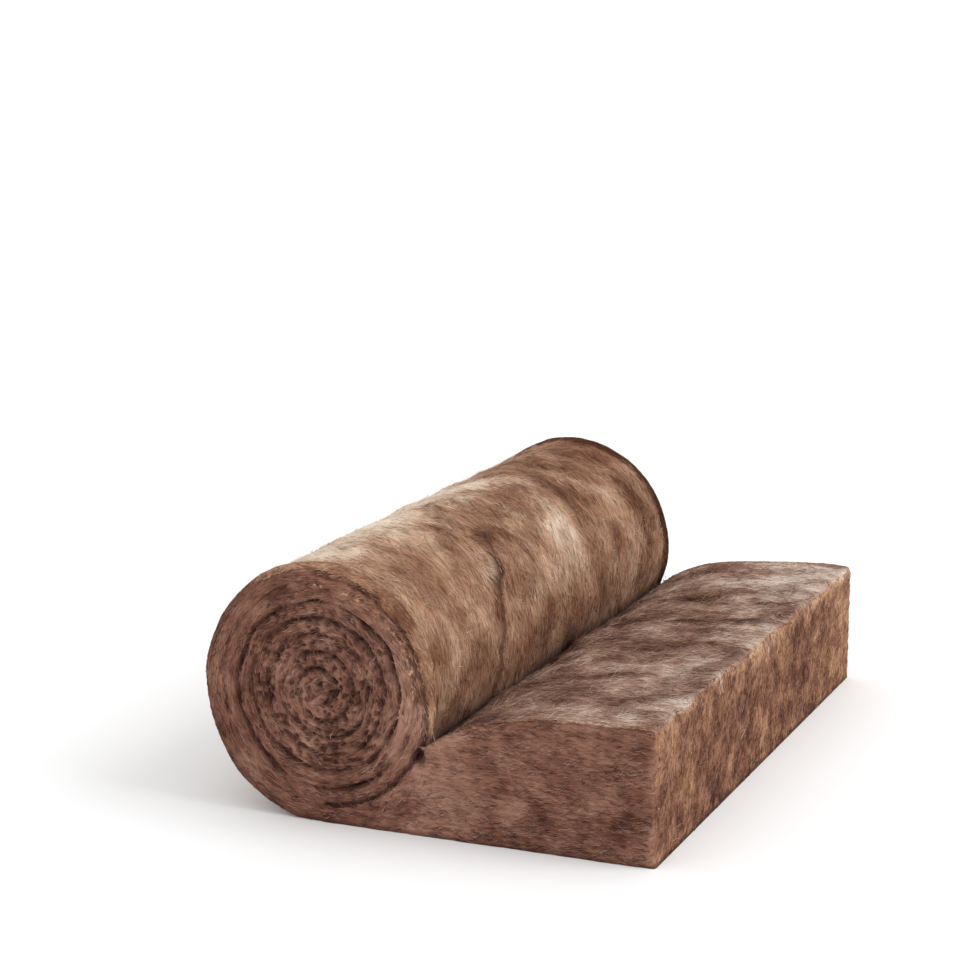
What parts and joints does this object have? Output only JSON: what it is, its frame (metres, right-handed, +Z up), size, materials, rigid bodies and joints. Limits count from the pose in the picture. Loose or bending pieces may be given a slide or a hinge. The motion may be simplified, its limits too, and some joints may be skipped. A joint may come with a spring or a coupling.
{
  "type": "mineral wool insulation roll",
  "caption": "Brown mineral wool insulation blanket, wound into a roll at one end with a thick lofted run-out lying flat at the other.",
  "frame": {"origin": "on the floor, at the middle of the blanket's footprint", "axes": "+X along the blanket from the roll to its free end, +Y across the blanket's width, which is the roll's own axis, +Z up"},
  "size_m": [0.7699, 1.14, 0.42],
  "materials": {
    "glass_wool": "matt brown spun glass fibre, dense and dark on the cut faces, paler and hairy on the broad faces"
  },
  "bodies": {
    "root": {"wool_blanket": "glass_wool"}
  },
  "joints": []
}
